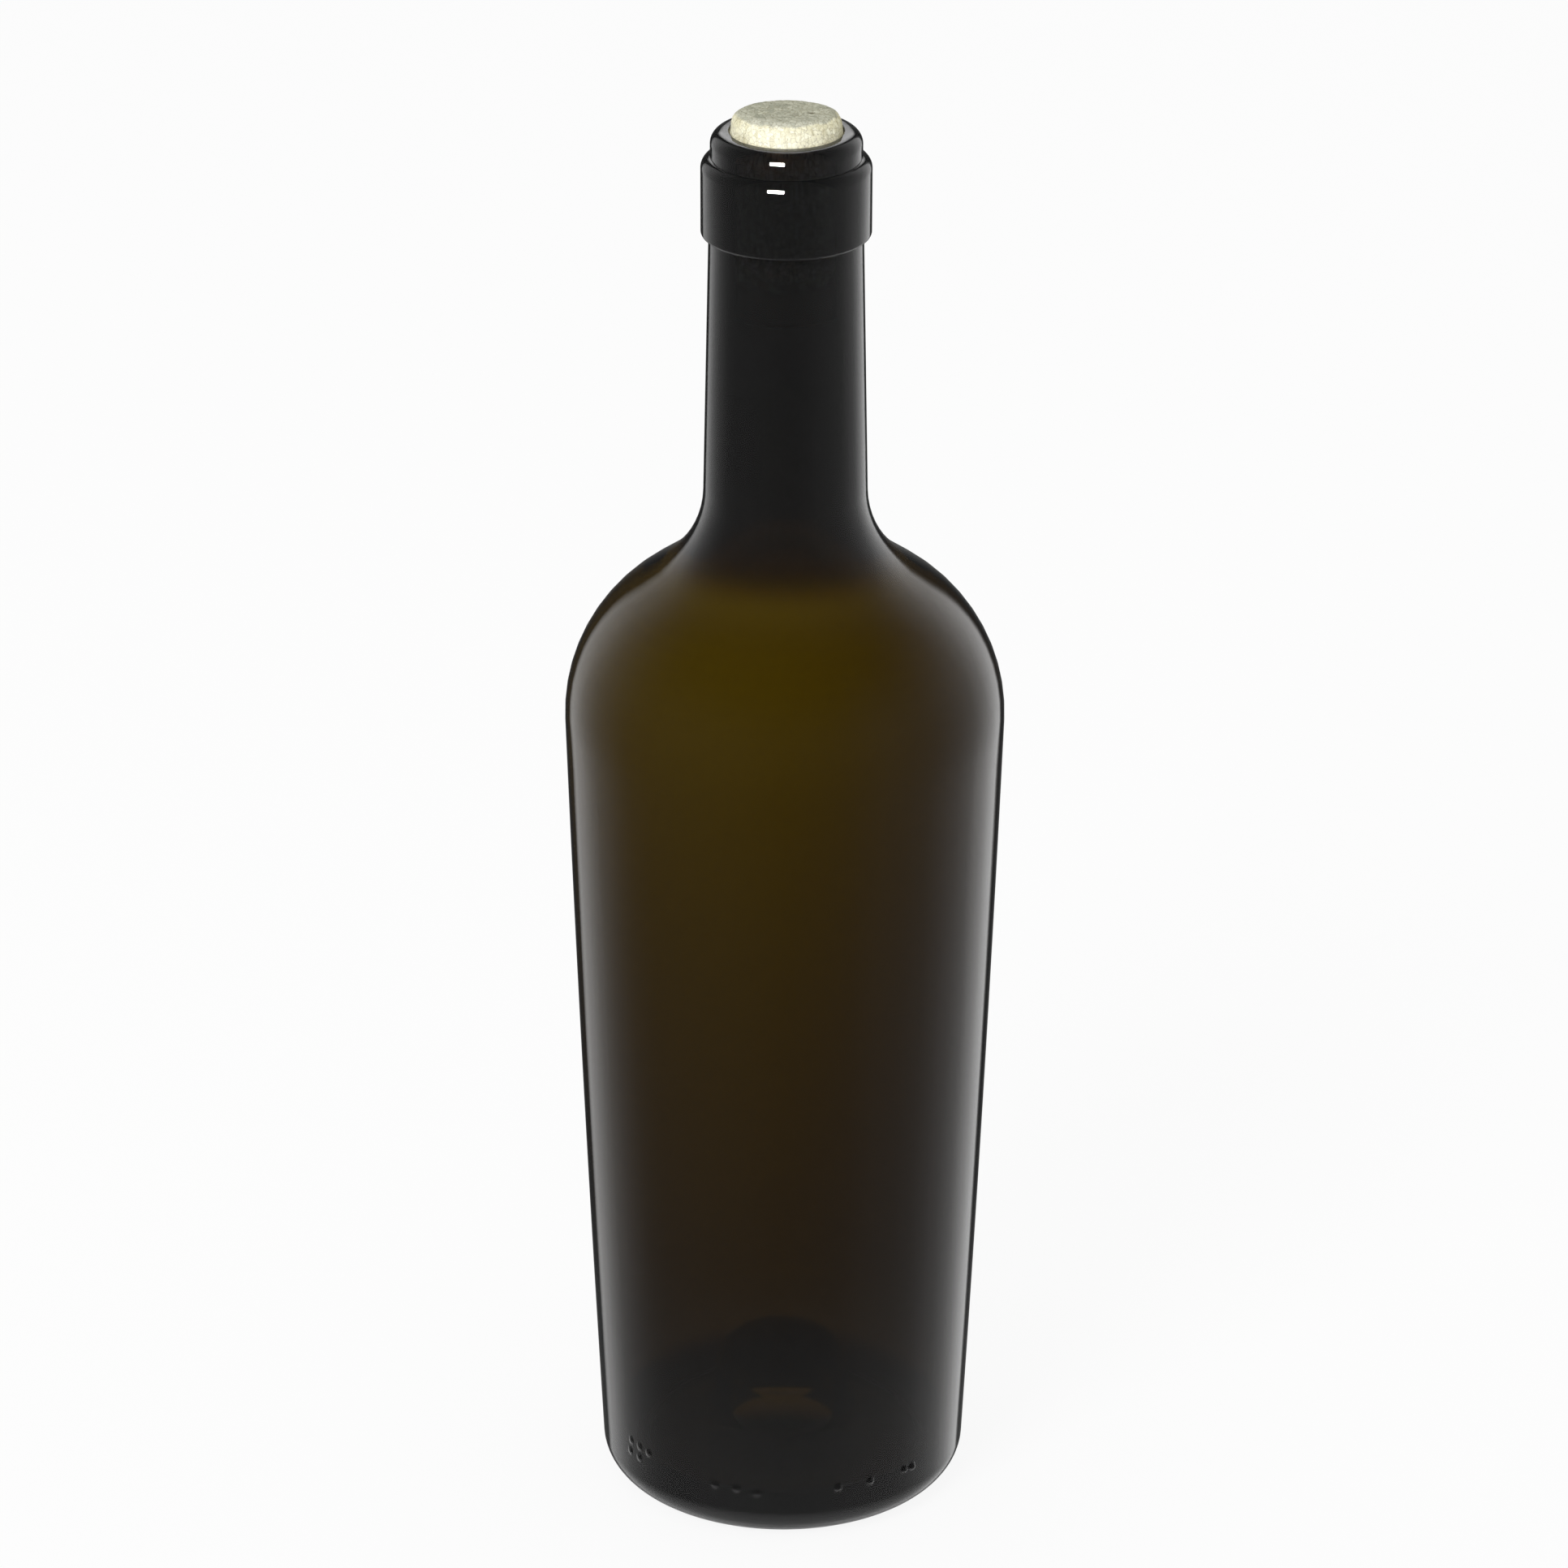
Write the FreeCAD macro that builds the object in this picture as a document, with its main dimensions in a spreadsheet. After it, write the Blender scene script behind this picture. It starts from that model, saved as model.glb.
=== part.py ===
import FreeCAD, Part
import math
import os
import Sketcher

# Tapered 75 cl wine bottle in dark glass, with a worn cork pushed part way into
# its mouth.  Millimetres, +Z up, origin at the centre of the face it stands on.

SIZES = {
    # outside of the glass, from the table up
    "bearing_radius": 28.9,        # outer rim of the flat ring it stands on
    "bearing_width": 2.4,
    "heel_round": 6.7,             # rounding from the ring to the wall
    "wall_bow": 8400.0,            # radius of the faint barrel curve of the wall
    "shoulder_height": 160.4,      # widest level of the bottle
    "shoulder_radius": 41.7,
    "shoulder_round": 33.0,
    "slope_length": 4.66,          # straight slope between shoulder and neck
    "neck_foot_round": 19.6,
    "neck_flare": 1.05,            # how much wider the neck is at its foot
    "neck_length": 50.5,
    "band_stand": 1.45,            # how far the band stands out from the neck
    "band_edge_round": 0.7,
    "band_top_round": 2.2,
    "band_length": 14.9,           # up to the step below the lip
    "lip_face": 0.85,              # flat ring round the mouth
    "lip_round": 2.5,
    "lip_length": 5.0,
    # punt, the hollow pushed up under the base
    "punt_height": 25.5,
    "punt_dome": 22.0,
    "punt_corner": 4.0,
    "punt_radius": 10.8,
    "punt_foot_round": 4.0,
    "punt_foot_height": 6.0,       # underside of the glass at the punt's foot
    "ring_round": 2.0,
    # inside of the glass
    "wall": 2.05,
    "foot_wall": 2.75,             # wall just above the heel
    "foot_floor": 6.5,             # glass above the ring it stands on
    "foot_inside_round": 5.5,
    "valley_floor": 3.5,           # glass round the punt's foot
    "valley_round": 5.0,
    "punt_wall": 2.4,              # glass between the punt and the inside
    "inside_slope": 11.5,          # about the straight part inside the shoulder
    "neck_inside_round": 14.0,
    "neck_inside_flare": 1.1,      # how much wider the neck is inside at its foot
    "neck_wall": 4.85,             # glass round the bore under the band
    "bore_radius": 9.5,
    "bore_depth": 52.0,
    "bevel_run": 1.2,              # bevel of the mouth, across and down
    "bevel_drop": 1.6,
    # cork
    "cork_length": 39.0,
    "cork_stand": 4.55,            # how far its high side stands out of the mouth
    "cork_slant": 1.3,             # fall of its worn top from front to back
    "cork_swell": 0.9,             # how much wider than the bore it is outside it
    "cork_slack": 0.03,            # clearance of the squeezed part in the bore
    "cork_foot_round": 0.8,
    "cork_crown_drop": 2.4,        # height of the worn edge round its top
    "cork_crown_round": 3.4,
}

# what follows from the sizes, as formulas of the spreadsheet
FOLLOWING = {
    "mouth_radius": "bore_radius + bevel_run",
    "lip_radius": "mouth_radius + lip_face + lip_round",
    "neck_top_radius": "bore_radius + neck_wall",
    "neck_foot_radius": "neck_top_radius + neck_flare",
    "band_radius": "neck_top_radius + band_stand",
    "neck_inside_radius": "bore_radius + neck_inside_flare",
    "foot_inside_radius": "bearing_radius + heel_round - foot_wall",
    "foot_inside_height": "foot_floor + foot_inside_round",
    "valley_height": "punt_foot_height + valley_floor",
    "cork_radius": "bore_radius + cork_swell",
    # centre of the shoulder's rounding, on the wall's radius
    "half_run": "(shoulder_radius - bearing_radius - heel_round) / 2",
    "half_rise": "(shoulder_height - heel_round) / 2",
    "half_chord": "sqrt(half_run ^ 2 + half_rise ^ 2)",
    "bow_reach": "sqrt(wall_bow ^ 2 - half_chord ^ 2) / half_chord",
    "shoulder_in": "(half_run + bow_reach * half_rise) / wall_bow",
    "shoulder_up": "(bow_reach * half_run - half_rise) / wall_bow",
    "shoulder_centre_radius": "shoulder_radius - shoulder_round * shoulder_in",
    "shoulder_centre_height": "shoulder_height + shoulder_round * shoulder_up",
    # height of the neck's foot, for a slope of its length between two roundings
    "neck_side": "sqrt(neck_length ^ 2 + neck_flare ^ 2)",
    "root_out": "neck_foot_round * neck_length / neck_side",
    "root_up": "neck_foot_round * neck_flare / neck_side",
    "root_run": "neck_foot_radius + root_out - shoulder_centre_radius",
    "root_span": "sqrt((shoulder_round + neck_foot_round) ^ 2 + slope_length ^ 2)",
    "root_rise": "sqrt(root_span ^ 2 - root_run ^ 2)",
    "neck_foot_height": "shoulder_centre_height + root_rise - root_up",
    "band_height": "neck_foot_height + neck_length",
    "band_top_height": "band_height + band_length",
    "lip_height": "band_top_height + lip_length",
    # the same inside
    "inside_run": "neck_inside_radius + neck_inside_round - shoulder_centre_radius",
    "inside_rounds": "shoulder_round - wall + neck_inside_round",
    "inside_span": "sqrt(inside_rounds ^ 2 + inside_slope ^ 2)",
    "inside_rise": "sqrt(inside_span ^ 2 - inside_run ^ 2)",
    "neck_inside_height": "shoulder_centre_height + inside_rise",
}

doc = FreeCAD.newDocument("WineBottle")
sheet = doc.addObject("Spreadsheet::Sheet", "Sizes")
for row, (alias, content) in enumerate({**SIZES, **FOLLOWING}.items(), 1):
    sheet.set(f"A{row}", alias)
    sheet.set(f"B{row}", f"={content}")
    sheet.setAlias(f"B{row}", alias)
doc.recompute()
SIZES.update({alias: float(sheet.get(alias)) for alias in FOLLOWING})


def total(sizes):
    """Value of a sum of named sizes, such as "lip_height - bevel_drop"."""
    sign = 1.0
    result = 0.0
    for word in sizes.split():
        if word in "+-":
            sign = 1.0 if word == "+" else -1.0
        else:
            result += sign * SIZES[word]
    return result


def driven(sizes):
    """The same sum, written as an expression on the spreadsheet."""
    return " ".join(word if word in "+-" else f"Sizes.{word}" for word in sizes.split())


def touching_line(centre_a, reach_a, centre_b, reach_b, turn):
    """Ends of the line at centre + reach * normal from both of two centres."""
    run = centre_b[0] - centre_a[0]
    rise = centre_b[1] - centre_a[1]
    spread = math.acos((reach_a - reach_b) / math.hypot(run, rise))
    angle = math.atan2(rise, run) + turn * spread
    across, up = math.cos(angle), math.sin(angle)
    start = (centre_a[0] + reach_a * across, centre_a[1] + reach_a * up)
    end = (centre_b[0] + reach_b * across, centre_b[1] + reach_b * up)
    return start, end


def bow_centre(low, high, radius):
    """Centre of the arc of that radius through two points, on the axis side."""
    half_run = (high[0] - low[0]) / 2
    half_rise = (high[1] - low[1]) / 2
    half = math.hypot(half_run, half_rise)
    back = math.sqrt(radius**2 - half**2)
    return (
        low[0] + half_run - back * half_rise / half,
        low[1] + half_rise + back * half_run / half,
    )


def toward(start, end, distance):
    """Point at a distance from start on the way to end."""
    span = math.dist(start, end)
    return tuple(a + (b - a) * distance / span for a, b in zip(start, end))


class Outline:
    """Closed chain of lines and arcs in a sketch: x is radius, y is height."""

    def __init__(self, body, name, role="XZ_Plane"):
        self.sketch = body.newObject("Sketcher::SketchObject", name)
        plane = next(f for f in body.Origin.OriginFeatures if f.Role == role)
        self.sketch.AttachmentSupport = [(plane, "")]
        self.sketch.MapMode = "FlatFace"
        self.edges = []

    def line(self, start, end):
        """A line that starts and ends at two points, in the order of the chain."""
        ends = [FreeCAD.Vector(*start, 0), FreeCAD.Vector(*end, 0)]
        index = self.sketch.addGeometry(Part.LineSegment(*ends), False)
        self.edges.append((index, 1, 2))
        return index

    def arc(self, centre, radius, start, end, clockwise=False):
        """An arc from one point to another, in the order of the chain."""
        first, last = (end, start) if clockwise else (start, end)
        angles = [math.atan2(p[1] - centre[1], p[0] - centre[0]) for p in (first, last)]
        circle = Part.Circle(FreeCAD.Vector(*centre, 0), FreeCAD.Vector(0, 0, 1), radius)
        index = self.sketch.addGeometry(Part.ArcOfCircle(circle, *angles), False)
        self.edges.append((index, 2, 1) if clockwise else (index, 1, 2))
        return index

    def guide(self, start, end):
        """A line that other edges refer to and that makes no surface."""
        ends = [FreeCAD.Vector(*start, 0), FreeCAD.Vector(*end, 0)]
        return self.sketch.addGeometry(Part.LineSegment(*ends), True)

    def join(self, sharp):
        """Join each edge to the next: at an angle after those in sharp, else smooth."""
        for place, (index, _, end) in enumerate(self.edges):
            following, start, _ = self.edges[(place + 1) % len(self.edges)]
            kind = "Coincident" if index in sharp else "Tangent"
            self.hold(kind, index, end, following, start)

    def hold(self, kind, *where, to=None):
        """A constraint, driven by a sum of named sizes when one is given."""
        if to is None:
            self.sketch.addConstraint(Sketcher.Constraint(kind, *where))
            return
        place = self.sketch.addConstraint(Sketcher.Constraint(kind, *where, total(to)))
        self.sketch.setExpression(f"Constraints[{place}]", driven(to))

    def fix(self, index, end, radius=None, height=None):
        """Hold one end, or the centre (3), of an edge at a radius and a height."""
        if radius is not None:
            self.hold("DistanceX", -1, 1, index, end, to=radius)
        if height is not None:
            self.hold("DistanceY", -1, 1, index, end, to=height)

    def solve(self):
        """Solve it, and stop if a constraint fails or a freedom is left."""
        if self.sketch.solve() != 0 or not self.sketch.FullyConstrained:
            raise RuntimeError(f"{self.sketch.Name} is not fully constrained")


def dome_and_corner(dome, corner, side, top):
    """Centre of a dome on the axis, and of the rounding from it to its side."""
    dome_centre = (0.0, top - dome)
    run = side - corner
    corner_centre = (run, dome_centre[1] + math.sqrt((dome - corner) ** 2 - run**2))
    meeting = toward(dome_centre, corner_centre, dome)
    return dome_centre, corner_centre, meeting


def spin(body, outline, kind, name):
    """Turn an outline once round the bottle's axis."""
    turned = body.newObject(kind, name)
    turned.Profile = outline.sketch
    turned.ReferenceAxis = (outline.sketch, ["V_Axis"])
    turned.Angle = 360.0
    body.Tip = turned
    return turned


# ------------------------------------------------------------------ glass, outside
bottle = doc.addObject("PartDesign::Body", "bottle")
outside = Outline(bottle, "outside_outline")

punt_dome_centre, punt_corner_centre, punt_meeting = dome_and_corner(
    SIZES["punt_dome"], SIZES["punt_corner"], SIZES["punt_radius"], SIZES["punt_height"]
)
foot_centre = (total("punt_radius + punt_foot_round"), total("punt_foot_height + punt_foot_round"))
ring_centre = (total("bearing_radius - bearing_width"), SIZES["ring_round"])
roof_inner, roof_outer = touching_line(
    foot_centre, -SIZES["punt_foot_round"], ring_centre, -SIZES["ring_round"], 1
)
heel_centre = (SIZES["bearing_radius"], SIZES["heel_round"])
shoulder_point = (SIZES["shoulder_radius"], SIZES["shoulder_height"])
wall_foot = (total("bearing_radius + heel_round"), SIZES["heel_round"])
wall_centre = bow_centre(wall_foot, shoulder_point, SIZES["wall_bow"])
wall_foot = toward(wall_centre, heel_centre, SIZES["wall_bow"])
shoulder_centre = toward(shoulder_point, wall_centre, SIZES["shoulder_round"])
neck_foot = (SIZES["neck_foot_radius"], SIZES["neck_foot_height"])
neck_top = (SIZES["neck_top_radius"], SIZES["band_height"])
neck_length = math.dist(neck_foot, neck_top)
neck_foot_centre = (
    neck_foot[0] + SIZES["neck_foot_round"] * (neck_top[1] - neck_foot[1]) / neck_length,
    neck_foot[1] + SIZES["neck_foot_round"] * (neck_foot[0] - neck_top[0]) / neck_length,
)
slope_low, slope_high = touching_line(
    shoulder_centre, SIZES["shoulder_round"], neck_foot_centre, -SIZES["neck_foot_round"], -1
)
band_low = total("band_height + band_edge_round")
step_run = total("band_radius - lip_radius")
step_rise = math.sqrt(SIZES["band_top_round"] ** 2 - (SIZES["band_top_round"] - step_run) ** 2)
band_high = SIZES["band_top_height"] - step_rise
lip_low = total("lip_height - lip_round")
lip_inner = total("lip_radius - lip_round")

punt_dome = outside.arc(
    punt_dome_centre, SIZES["punt_dome"], (0.0, SIZES["punt_height"]), punt_meeting, True
)
punt_corner = outside.arc(
    punt_corner_centre, SIZES["punt_corner"], punt_meeting,
    (SIZES["punt_radius"], punt_corner_centre[1]), True,
)
punt_side = outside.line(
    (SIZES["punt_radius"], punt_corner_centre[1]), (SIZES["punt_radius"], foot_centre[1])
)
punt_foot = outside.arc(
    foot_centre, SIZES["punt_foot_round"], (SIZES["punt_radius"], foot_centre[1]), roof_inner
)
roof = outside.line(roof_inner, roof_outer)
ring_inner = outside.arc(ring_centre, SIZES["ring_round"], roof_outer, (ring_centre[0], 0.0))
bearing = outside.line((ring_centre[0], 0.0), (SIZES["bearing_radius"], 0.0))
heel = outside.arc(heel_centre, SIZES["heel_round"], (SIZES["bearing_radius"], 0.0), wall_foot)
wall = outside.arc(wall_centre, SIZES["wall_bow"], wall_foot, shoulder_point)
shoulder = outside.arc(shoulder_centre, SIZES["shoulder_round"], shoulder_point, slope_low)
slope = outside.line(slope_low, slope_high)
neck_root = outside.arc(
    neck_foot_centre, SIZES["neck_foot_round"], slope_high, neck_foot, True
)
neck = outside.line(neck_foot, neck_top)
ledge = outside.line(neck_top, (total("band_radius - band_edge_round"), SIZES["band_height"]))
band_edge = outside.arc(
    (total("band_radius - band_edge_round"), band_low), SIZES["band_edge_round"],
    (total("band_radius - band_edge_round"), SIZES["band_height"]),
    (SIZES["band_radius"], band_low),
)
band = outside.line((SIZES["band_radius"], band_low), (SIZES["band_radius"], band_high))
band_top = outside.arc(
    (total("band_radius - band_top_round"), band_high), SIZES["band_top_round"],
    (SIZES["band_radius"], band_high), (SIZES["lip_radius"], SIZES["band_top_height"]),
)
lip_wall = outside.line(
    (SIZES["lip_radius"], SIZES["band_top_height"]), (SIZES["lip_radius"], lip_low)
)
lip_edge = outside.arc(
    (lip_inner, lip_low), SIZES["lip_round"], (SIZES["lip_radius"], lip_low),
    (lip_inner, SIZES["lip_height"]),
)
lip_top = outside.line((lip_inner, SIZES["lip_height"]), (0.0, SIZES["lip_height"]))
axis = outside.line((0.0, SIZES["lip_height"]), (0.0, SIZES["punt_height"]))

outside.join({neck, band_top, lip_top, axis})
outside.hold("Vertical", axis)
outside.hold("PointOnObject", axis, 2, -2)
outside.hold("PointOnObject", punt_dome, 3, -2)
outside.fix(axis, 2, height="punt_height")
outside.hold("Radius", punt_dome, to="punt_dome")
outside.hold("Radius", punt_corner, to="punt_corner")
outside.hold("Vertical", punt_side)
outside.fix(punt_side, 1, radius="punt_radius")
outside.hold("Radius", punt_foot, to="punt_foot_round")
outside.fix(punt_foot, 3, height="punt_foot_height + punt_foot_round")
outside.hold("Radius", ring_inner, to="ring_round")
outside.hold("PointOnObject", bearing, 1, -1)
outside.hold("Horizontal", bearing)
outside.fix(bearing, 1, radius="bearing_radius - bearing_width")
outside.fix(bearing, 2, radius="bearing_radius")
outside.hold("Radius", heel, to="heel_round")
outside.hold("Radius", wall, to="wall_bow")
outside.fix(shoulder, 1, radius="shoulder_radius", height="shoulder_height")
outside.hold("Radius", shoulder, to="shoulder_round")
outside.hold("Radius", neck_root, to="neck_foot_round")
outside.fix(neck, 1, radius="neck_foot_radius", height="neck_foot_height")
outside.fix(neck, 2, radius="neck_top_radius", height="band_height")
outside.hold("Horizontal", ledge)
outside.hold("Radius", band_edge, to="band_edge_round")
outside.hold("Vertical", band)
outside.fix(band, 1, radius="band_radius")
outside.hold("Radius", band_top, to="band_top_round")
outside.fix(lip_wall, 1, radius="lip_radius", height="band_top_height")
outside.hold("Vertical", lip_wall)
outside.hold("Radius", lip_edge, to="lip_round")
outside.hold("Horizontal", lip_top)
outside.fix(lip_top, 1, height="lip_height")
outside.solve()
spin(bottle, outside, "PartDesign::Revolution", "glass_outside")

# ------------------------------------------------------------------- glass, inside
inside = Outline(bottle, "inside_outline")

mouth_rim = (SIZES["mouth_radius"], SIZES["lip_height"])
bore_top = (SIZES["bore_radius"], total("lip_height - bevel_drop"))
bore_foot = (SIZES["bore_radius"], total("lip_height - bore_depth"))
neck_inside = (SIZES["neck_inside_radius"], SIZES["neck_inside_height"])
widening = math.dist(bore_foot, neck_inside)
neck_inside_centre = (
    neck_inside[0] + SIZES["neck_inside_round"] * (bore_foot[1] - neck_inside[1]) / widening,
    neck_inside[1] + SIZES["neck_inside_round"] * (neck_inside[0] - bore_foot[0]) / widening,
)
inside_shoulder_point = (total("shoulder_radius - wall"), SIZES["shoulder_height"])
foot_inside = (SIZES["foot_inside_radius"], SIZES["foot_inside_height"])
inside_wall_radius = total("wall_bow - wall")
inside_wall_centre = bow_centre(foot_inside, inside_shoulder_point, inside_wall_radius)
inside_shoulder_radius = total("shoulder_round - wall")
inside_shoulder_centre = toward(
    inside_shoulder_point, inside_wall_centre, inside_shoulder_radius
)
inside_low, inside_high = touching_line(
    inside_shoulder_centre, inside_shoulder_radius,
    neck_inside_centre, -SIZES["neck_inside_round"], -1,
)
inside_dome_centre, inside_corner_centre, inside_meeting = dome_and_corner(
    total("punt_dome + punt_wall"), total("punt_corner + punt_wall"),
    total("punt_radius + punt_wall"), total("punt_height + punt_wall"),
)
inside_punt_radius = total("punt_radius + punt_wall")
inside_foot_centre = toward(foot_inside, inside_wall_centre, SIZES["foot_inside_round"])
valley_centre = (
    total("punt_radius + punt_wall + valley_round"), total("valley_height + valley_round")
)
floor_inner, floor_outer = touching_line(
    valley_centre, -SIZES["valley_round"],
    inside_foot_centre, -SIZES["foot_inside_round"], 1,
)

mouth = inside.line((0.0, SIZES["lip_height"]), mouth_rim)
bevel = inside.line(mouth_rim, bore_top)
bore = inside.line(bore_top, bore_foot)
neck_bore = inside.line(bore_foot, neck_inside)
inside_root = inside.arc(
    neck_inside_centre, SIZES["neck_inside_round"], neck_inside, inside_high
)
inside_slope = inside.line(inside_high, inside_low)
inside_shoulder = inside.arc(
    inside_shoulder_centre, inside_shoulder_radius, inside_low, inside_shoulder_point, True
)
inside_wall = inside.arc(
    inside_wall_centre, inside_wall_radius, inside_shoulder_point, foot_inside, True
)
inside_foot = inside.arc(
    inside_foot_centre, SIZES["foot_inside_round"], foot_inside, floor_outer, True
)
inside_floor = inside.line(floor_outer, floor_inner)
valley = inside.arc(
    valley_centre, SIZES["valley_round"], floor_inner,
    (inside_punt_radius, valley_centre[1]), True,
)
inside_side = inside.line(
    (inside_punt_radius, valley_centre[1]), (inside_punt_radius, inside_corner_centre[1])
)
inside_corner = inside.arc(
    inside_corner_centre, total("punt_corner + punt_wall"),
    (inside_punt_radius, inside_corner_centre[1]), inside_meeting,
)
inside_dome = inside.arc(
    inside_dome_centre, total("punt_dome + punt_wall"), inside_meeting,
    (0.0, total("punt_height + punt_wall")),
)
inside_axis = inside.line((0.0, total("punt_height + punt_wall")), (0.0, SIZES["lip_height"]))

inside.join({mouth, bevel, bore, inside_dome, inside_axis})
inside.hold("Vertical", inside_axis)
inside.hold("PointOnObject", inside_axis, 1, -2)
inside.fix(inside_axis, 1, height="punt_height + punt_wall")
inside.hold("Horizontal", mouth)
inside.fix(mouth, 2, radius="mouth_radius", height="lip_height")
inside.fix(bore, 1, radius="bore_radius", height="lip_height - bevel_drop")
inside.hold("Vertical", bore)
inside.fix(bore, 2, height="lip_height - bore_depth")
inside.fix(neck_bore, 2, radius="neck_inside_radius", height="neck_inside_height")
inside.hold("Radius", inside_root, to="neck_inside_round")
inside.hold("Radius", inside_shoulder, to="shoulder_round - wall")
inside.fix(inside_wall, 2, radius="shoulder_radius - wall", height="shoulder_height")
inside.fix(inside_wall, 1, radius="foot_inside_radius", height="foot_inside_height")
inside.hold("Radius", inside_wall, to="wall_bow - wall")
inside.hold("Radius", inside_foot, to="foot_inside_round")
inside.hold("Radius", valley, to="valley_round")
inside.fix(valley, 3, height="valley_height + valley_round")
inside.hold("Vertical", inside_side)
inside.fix(inside_side, 1, radius="punt_radius + punt_wall")
inside.hold("Radius", inside_corner, to="punt_corner + punt_wall")
inside.hold("Radius", inside_dome, to="punt_dome + punt_wall")
inside.hold("PointOnObject", inside_dome, 3, -2)
inside.solve()
spin(bottle, inside, "PartDesign::Groove", "glass_inside")

# --------------------------------------------------------------------------- cork
cork = doc.addObject("PartDesign::Body", "cork")
stopper = Outline(cork, "cork_outline")

cork_top = total("lip_height + cork_stand")
cork_low = total("lip_height + cork_stand - cork_length")
crown_low = total("lip_height + cork_stand - cork_crown_drop")
stem = total("bore_radius - cork_slack")
seat_slope = SIZES["bevel_drop"] / total("mouth_radius - bore_radius")
flare_low = (stem, bore_top[1] - seat_slope * SIZES["cork_slack"])
flare_high = (
    SIZES["cork_radius"], bore_top[1] + seat_slope * total("cork_radius - bore_radius")
)
crown_depth = SIZES["cork_crown_round"] - SIZES["cork_crown_drop"]
crown_inner = SIZES["cork_radius"] - math.sqrt(SIZES["cork_crown_round"] ** 2 - crown_depth**2)
foot_inner = stem - SIZES["cork_foot_round"]
foot_top = cork_low + SIZES["cork_foot_round"]

cork_end = stopper.line((0.0, cork_low), (foot_inner, cork_low))
cork_foot = stopper.arc(
    (foot_inner, foot_top), SIZES["cork_foot_round"], (foot_inner, cork_low), (stem, foot_top)
)
cork_stem = stopper.line((stem, foot_top), flare_low)
flare = stopper.line(flare_low, flare_high)
cork_side = stopper.line(flare_high, (SIZES["cork_radius"], crown_low))
crown = stopper.arc(
    (crown_inner, cork_top - SIZES["cork_crown_round"]), SIZES["cork_crown_round"],
    (SIZES["cork_radius"], crown_low), (crown_inner, cork_top),
)
cork_face = stopper.line((crown_inner, cork_top), (0.0, cork_top))
cork_axis = stopper.line((0.0, cork_top), (0.0, cork_low))
stopper.join({cork_stem, flare, cork_side, cork_face, cork_axis})

# the bevel of the mouth, which the flare of the cork lies on
seat = stopper.guide(bore_top, mouth_rim)
stopper.fix(seat, 1, radius="bore_radius", height="lip_height - bevel_drop")
stopper.fix(seat, 2, radius="mouth_radius", height="lip_height")
stopper.hold("PointOnObject", flare, 1, seat)
stopper.hold("PointOnObject", flare, 2, seat)
stopper.hold("Horizontal", cork_end)
stopper.hold("PointOnObject", cork_end, 1, -2)
stopper.fix(cork_end, 1, height="lip_height + cork_stand - cork_length")
stopper.hold("Radius", cork_foot, to="cork_foot_round")
stopper.hold("Vertical", cork_stem)
stopper.fix(cork_stem, 2, radius="bore_radius - cork_slack")
stopper.hold("Vertical", cork_side)
stopper.fix(cork_side, 2, radius="cork_radius", height="lip_height + cork_stand - cork_crown_drop")
stopper.hold("Radius", crown, to="cork_crown_round")
stopper.hold("Horizontal", cork_face)
stopper.fix(cork_face, 2, height="lip_height + cork_stand")
stopper.hold("Vertical", cork_axis)
stopper.solve()
spin(cork, stopper, "PartDesign::Revolution", "cork_turned")

# what is worn off above the slant: x is now from front to back
worn = Outline(cork, "worn_outline", "YZ_Plane")
front = -SIZES["cork_radius"]
back = 3 * SIZES["cork_radius"]
slant = SIZES["cork_slant"]
corners = [
    (front, cork_top), (back, cork_top - 2 * slant),
    (back, cork_top + slant), (front, cork_top + slant),
]
worn_face, worn_back, worn_top, worn_front = (
    worn.line(start, end) for start, end in zip(corners, corners[1:] + corners[:1])
)
worn.join({worn_face, worn_back, worn_top, worn_front})
worn.hold("Vertical", worn_back)
worn.hold("Vertical", worn_front)
worn.hold("Horizontal", worn_top)
worn.fix(worn_face, 1, radius="- cork_radius", height="lip_height + cork_stand")
worn.fix(
    worn_face, 2, radius="cork_radius + cork_radius + cork_radius",
    height="lip_height + cork_stand - cork_slant - cork_slant",
)
worn.fix(worn_top, 1, height="lip_height + cork_stand + cork_slant")
worn.solve()
cut = cork.newObject("PartDesign::Pocket", "cork_worn")
cut.Profile = worn.sketch
cut.Type = "ThroughAll"
cut.Midplane = True
cork.Tip = cut

# ------------------------------------------------------------------ check and write
doc.recompute()
for item in doc.Objects:
    if {"Invalid", "Error"} & set(item.State):
        raise RuntimeError(f"{item.Name} did not recompute: {item.State}")

os.makedirs("parts", exist_ok=True)
for part in (bottle, cork):
    if part.Shape.isNull() or not part.Shape.isValid() or len(part.Shape.Solids) != 1:
        raise RuntimeError(f"{part.Label} is not one sound solid")
    part.Shape.exportStep(f"parts/{part.Label}.step")
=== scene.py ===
import math

import bpy
import numpy as np
from mathutils import Matrix, Vector, noise


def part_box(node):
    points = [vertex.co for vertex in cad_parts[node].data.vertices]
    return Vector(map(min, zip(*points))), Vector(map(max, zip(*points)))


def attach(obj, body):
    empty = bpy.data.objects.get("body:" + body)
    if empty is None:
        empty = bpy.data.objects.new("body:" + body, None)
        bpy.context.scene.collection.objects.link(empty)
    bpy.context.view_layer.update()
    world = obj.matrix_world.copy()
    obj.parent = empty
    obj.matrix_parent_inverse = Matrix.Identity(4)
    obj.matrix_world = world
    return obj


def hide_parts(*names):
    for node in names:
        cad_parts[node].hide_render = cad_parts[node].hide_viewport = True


# Dark olive wine bottle, empty, with a worn cork in its mouth.  Metres, +Z up,
# -Y to the camera; the sizes and outlines below are in millimetres.

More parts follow.
